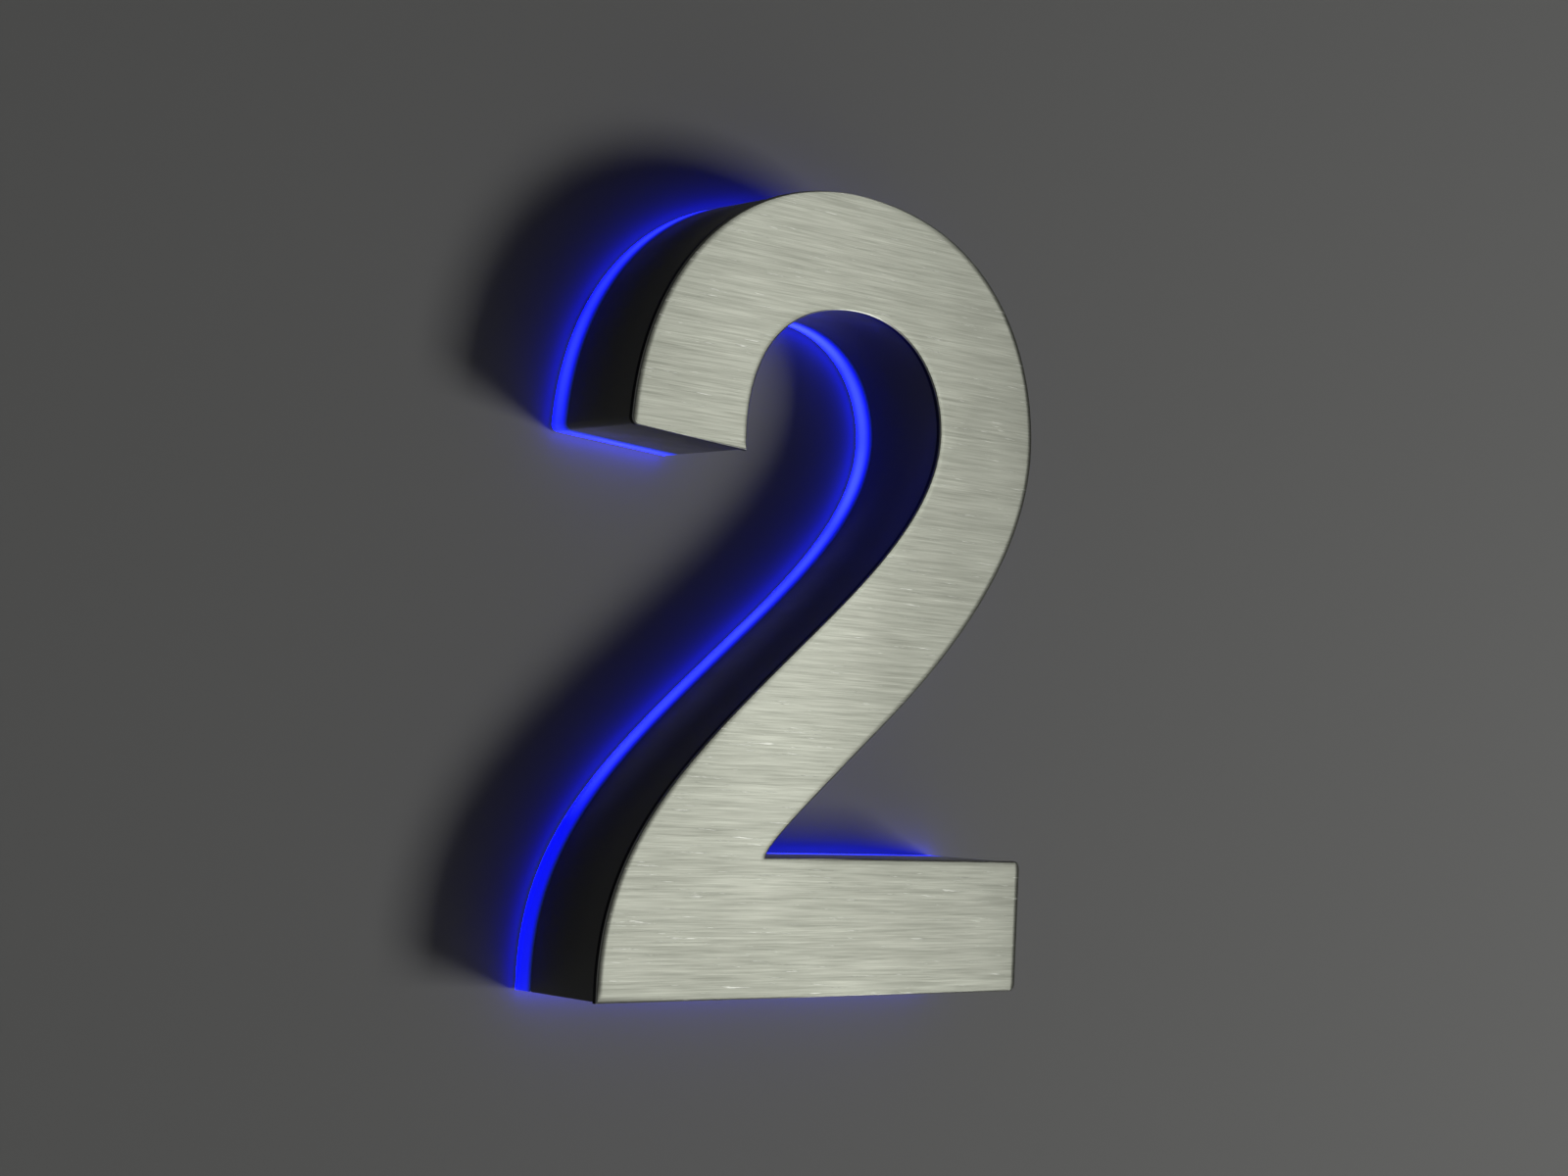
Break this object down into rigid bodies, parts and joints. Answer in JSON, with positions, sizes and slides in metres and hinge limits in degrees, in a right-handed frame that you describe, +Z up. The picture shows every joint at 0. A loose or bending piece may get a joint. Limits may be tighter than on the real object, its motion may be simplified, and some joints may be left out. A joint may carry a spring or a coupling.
{
  "type": "backlit numeral sign",
  "caption": "Wall-mounted house numeral with a brushed metal face, black metal sides and a glowing acrylic back that throws a blue halo.",
  "frame": {"origin": "centre of the four wall studs, on the wall's surface, which is the rear face of the acrylic panel", "axes": "+Y into the wall along the studs, +Z up the numeral, +X to the right as seen from the front"},
  "size_m": [0.138, 0.067, 0.2],
  "materials": {
    "brushed_face": "horizontally brushed, satin, with a polished edge",
    "black_return": "satin black lacquer",
    "plain_steel": "mill, with solder",
    "screw_steel": "bright stainless",
    "halo_acrylic": "frosted acrylic, lit blue from inside",
    "block_aluminium": "milled",
    "foam_tape": "foam",
    "white_plastic": "moulded",
    "board": "white solder mask",
    "light_chip": "blue light chip",
    "resistor": "ceramic",
    "lens": "clear moulded",
    "red_wire": "insulated wire",
    "black_wire": "insulated wire",
    "terminal_brass": "plain",
    "grommet_rubber": "soft"
  },
  "bodies": {
    "back": {"back_panel": "halo_acrylic", "clamp_blocks": "block_aluminium", "clamp_block_screws": "screw_steel", "wall_studs": "screw_steel", "stud_washers": "screw_steel", "front_nuts": "screw_steel", "rear_nuts": "screw_steel", "module_tapes": "foam_tape", "module_housings": "white_plastic", "module_boards": "board", "light_chips": "light_chip", "module_resistors": "resistor", "module_lenses": "lens", "positive_wires": "red_wire", "negative_wires": "black_wire", "terminal_body": "white_plastic", "terminal_cages": "terminal_brass", "terminal_screws": "screw_steel", "cable_grommet": "grommet_rubber"},
    "shell": {"face_plate": "brushed_face", "outer_return": "black_return", "foot_return": "black_return", "inner_return": "black_return", "corner_angles": "plain_steel", "screw_bosses": "plain_steel"},
    "crown_screw": {"crown_set_screw": "screw_steel"},
    "left_screw": {"left_set_screw": "screw_steel"},
    "right_screw": {"right_set_screw": "screw_steel"}
  },
  "joints": [
    {"name": "shell_pull_off", "type": "slide", "parent": "back", "child": "shell", "axis": [0, -1, 0], "range_m": [0, 0.06]},
    {"name": "crown_screw_travel", "type": "slide", "parent": "shell", "child": "crown_screw", "axis": [0, 0, 1], "range_m": [0, 0.003]},
    {"name": "left_screw_travel", "type": "slide", "parent": "shell", "child": "left_screw", "axis": [0, 0, -1], "range_m": [0, 0.003]},
    {"name": "right_screw_travel", "type": "slide", "parent": "shell", "child": "right_screw", "axis": [0, 0, -1], "range_m": [0, 0.003]}
  ]
}
